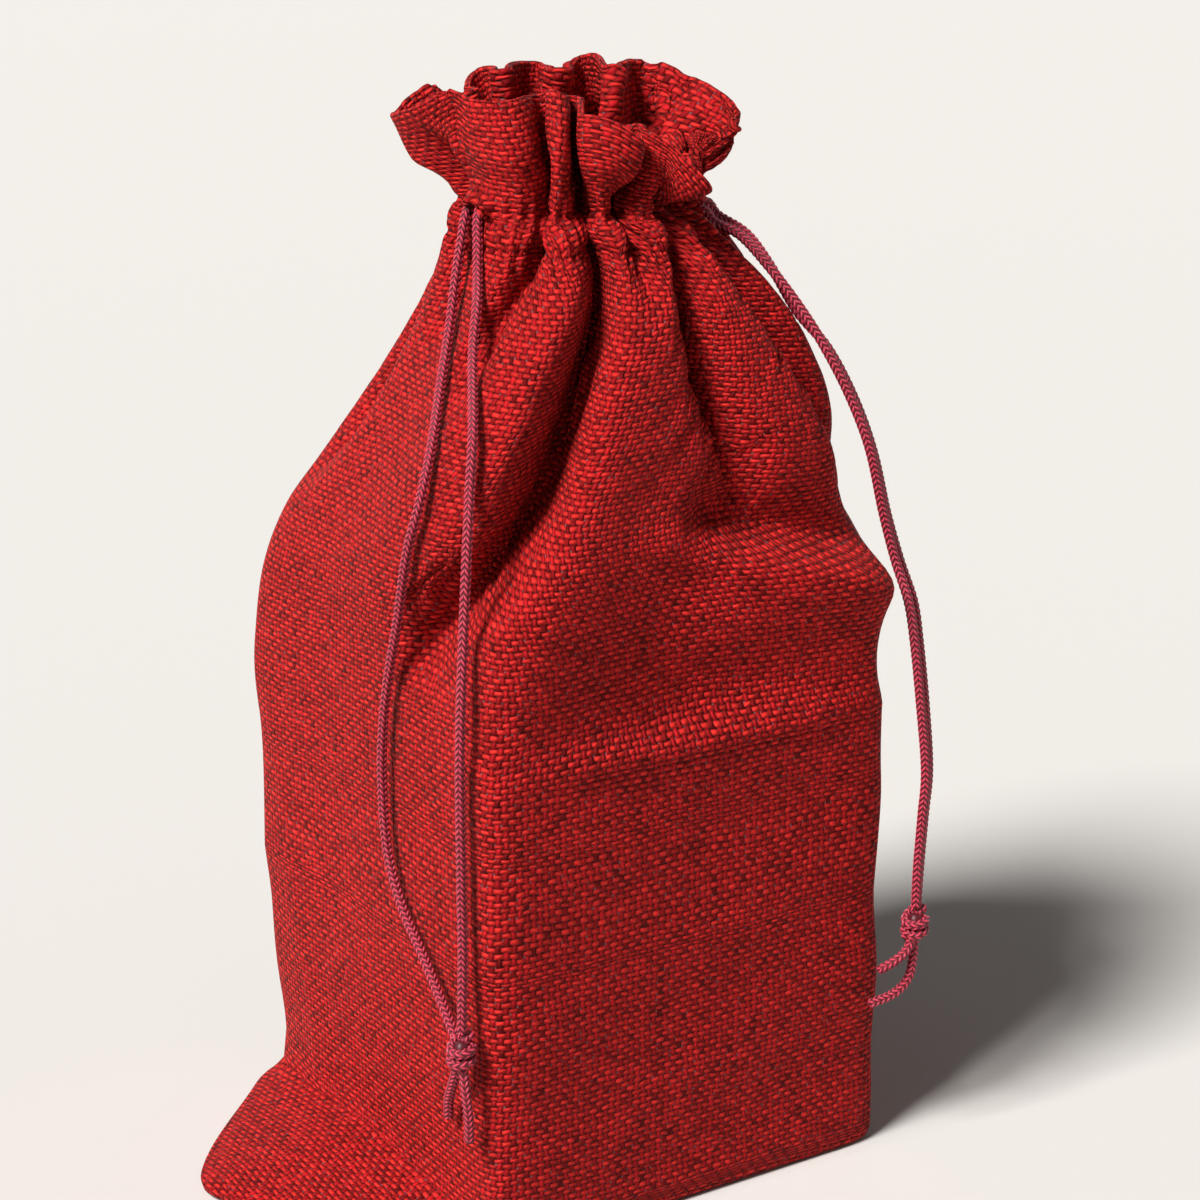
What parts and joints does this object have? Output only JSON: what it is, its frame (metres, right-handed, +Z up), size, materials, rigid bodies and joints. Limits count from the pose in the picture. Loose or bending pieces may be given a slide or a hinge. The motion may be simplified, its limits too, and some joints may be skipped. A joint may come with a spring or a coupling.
{
  "type": "kinchaku drawstring pouch",
  "caption": "Gift pouch of red linen-look cloth, drawn shut with two drawstrings over a box-shaped filling, with a frilled top.",
  "frame": {"origin": "middle of the filled body's flat base on the table", "axes": "+Z up out of the neck, -Y out of the front panel, -X out of the left panel, where the ear lies"},
  "size_m": [0.1494, 0.1101, 0.2392],
  "materials": {
    "red_linen_look_cloth": "coarse plain weave of heathered polyester, matt",
    "raspberry_braided_cord": "round braided polyester cord, slight sheen"
  },
  "bodies": {
    "root": {"pouch": "red_linen_look_cloth", "left_drawstring": "raspberry_braided_cord", "right_drawstring": "raspberry_braided_cord", "left_knot": "raspberry_braided_cord", "right_knot": "raspberry_braided_cord"}
  },
  "joints": []
}
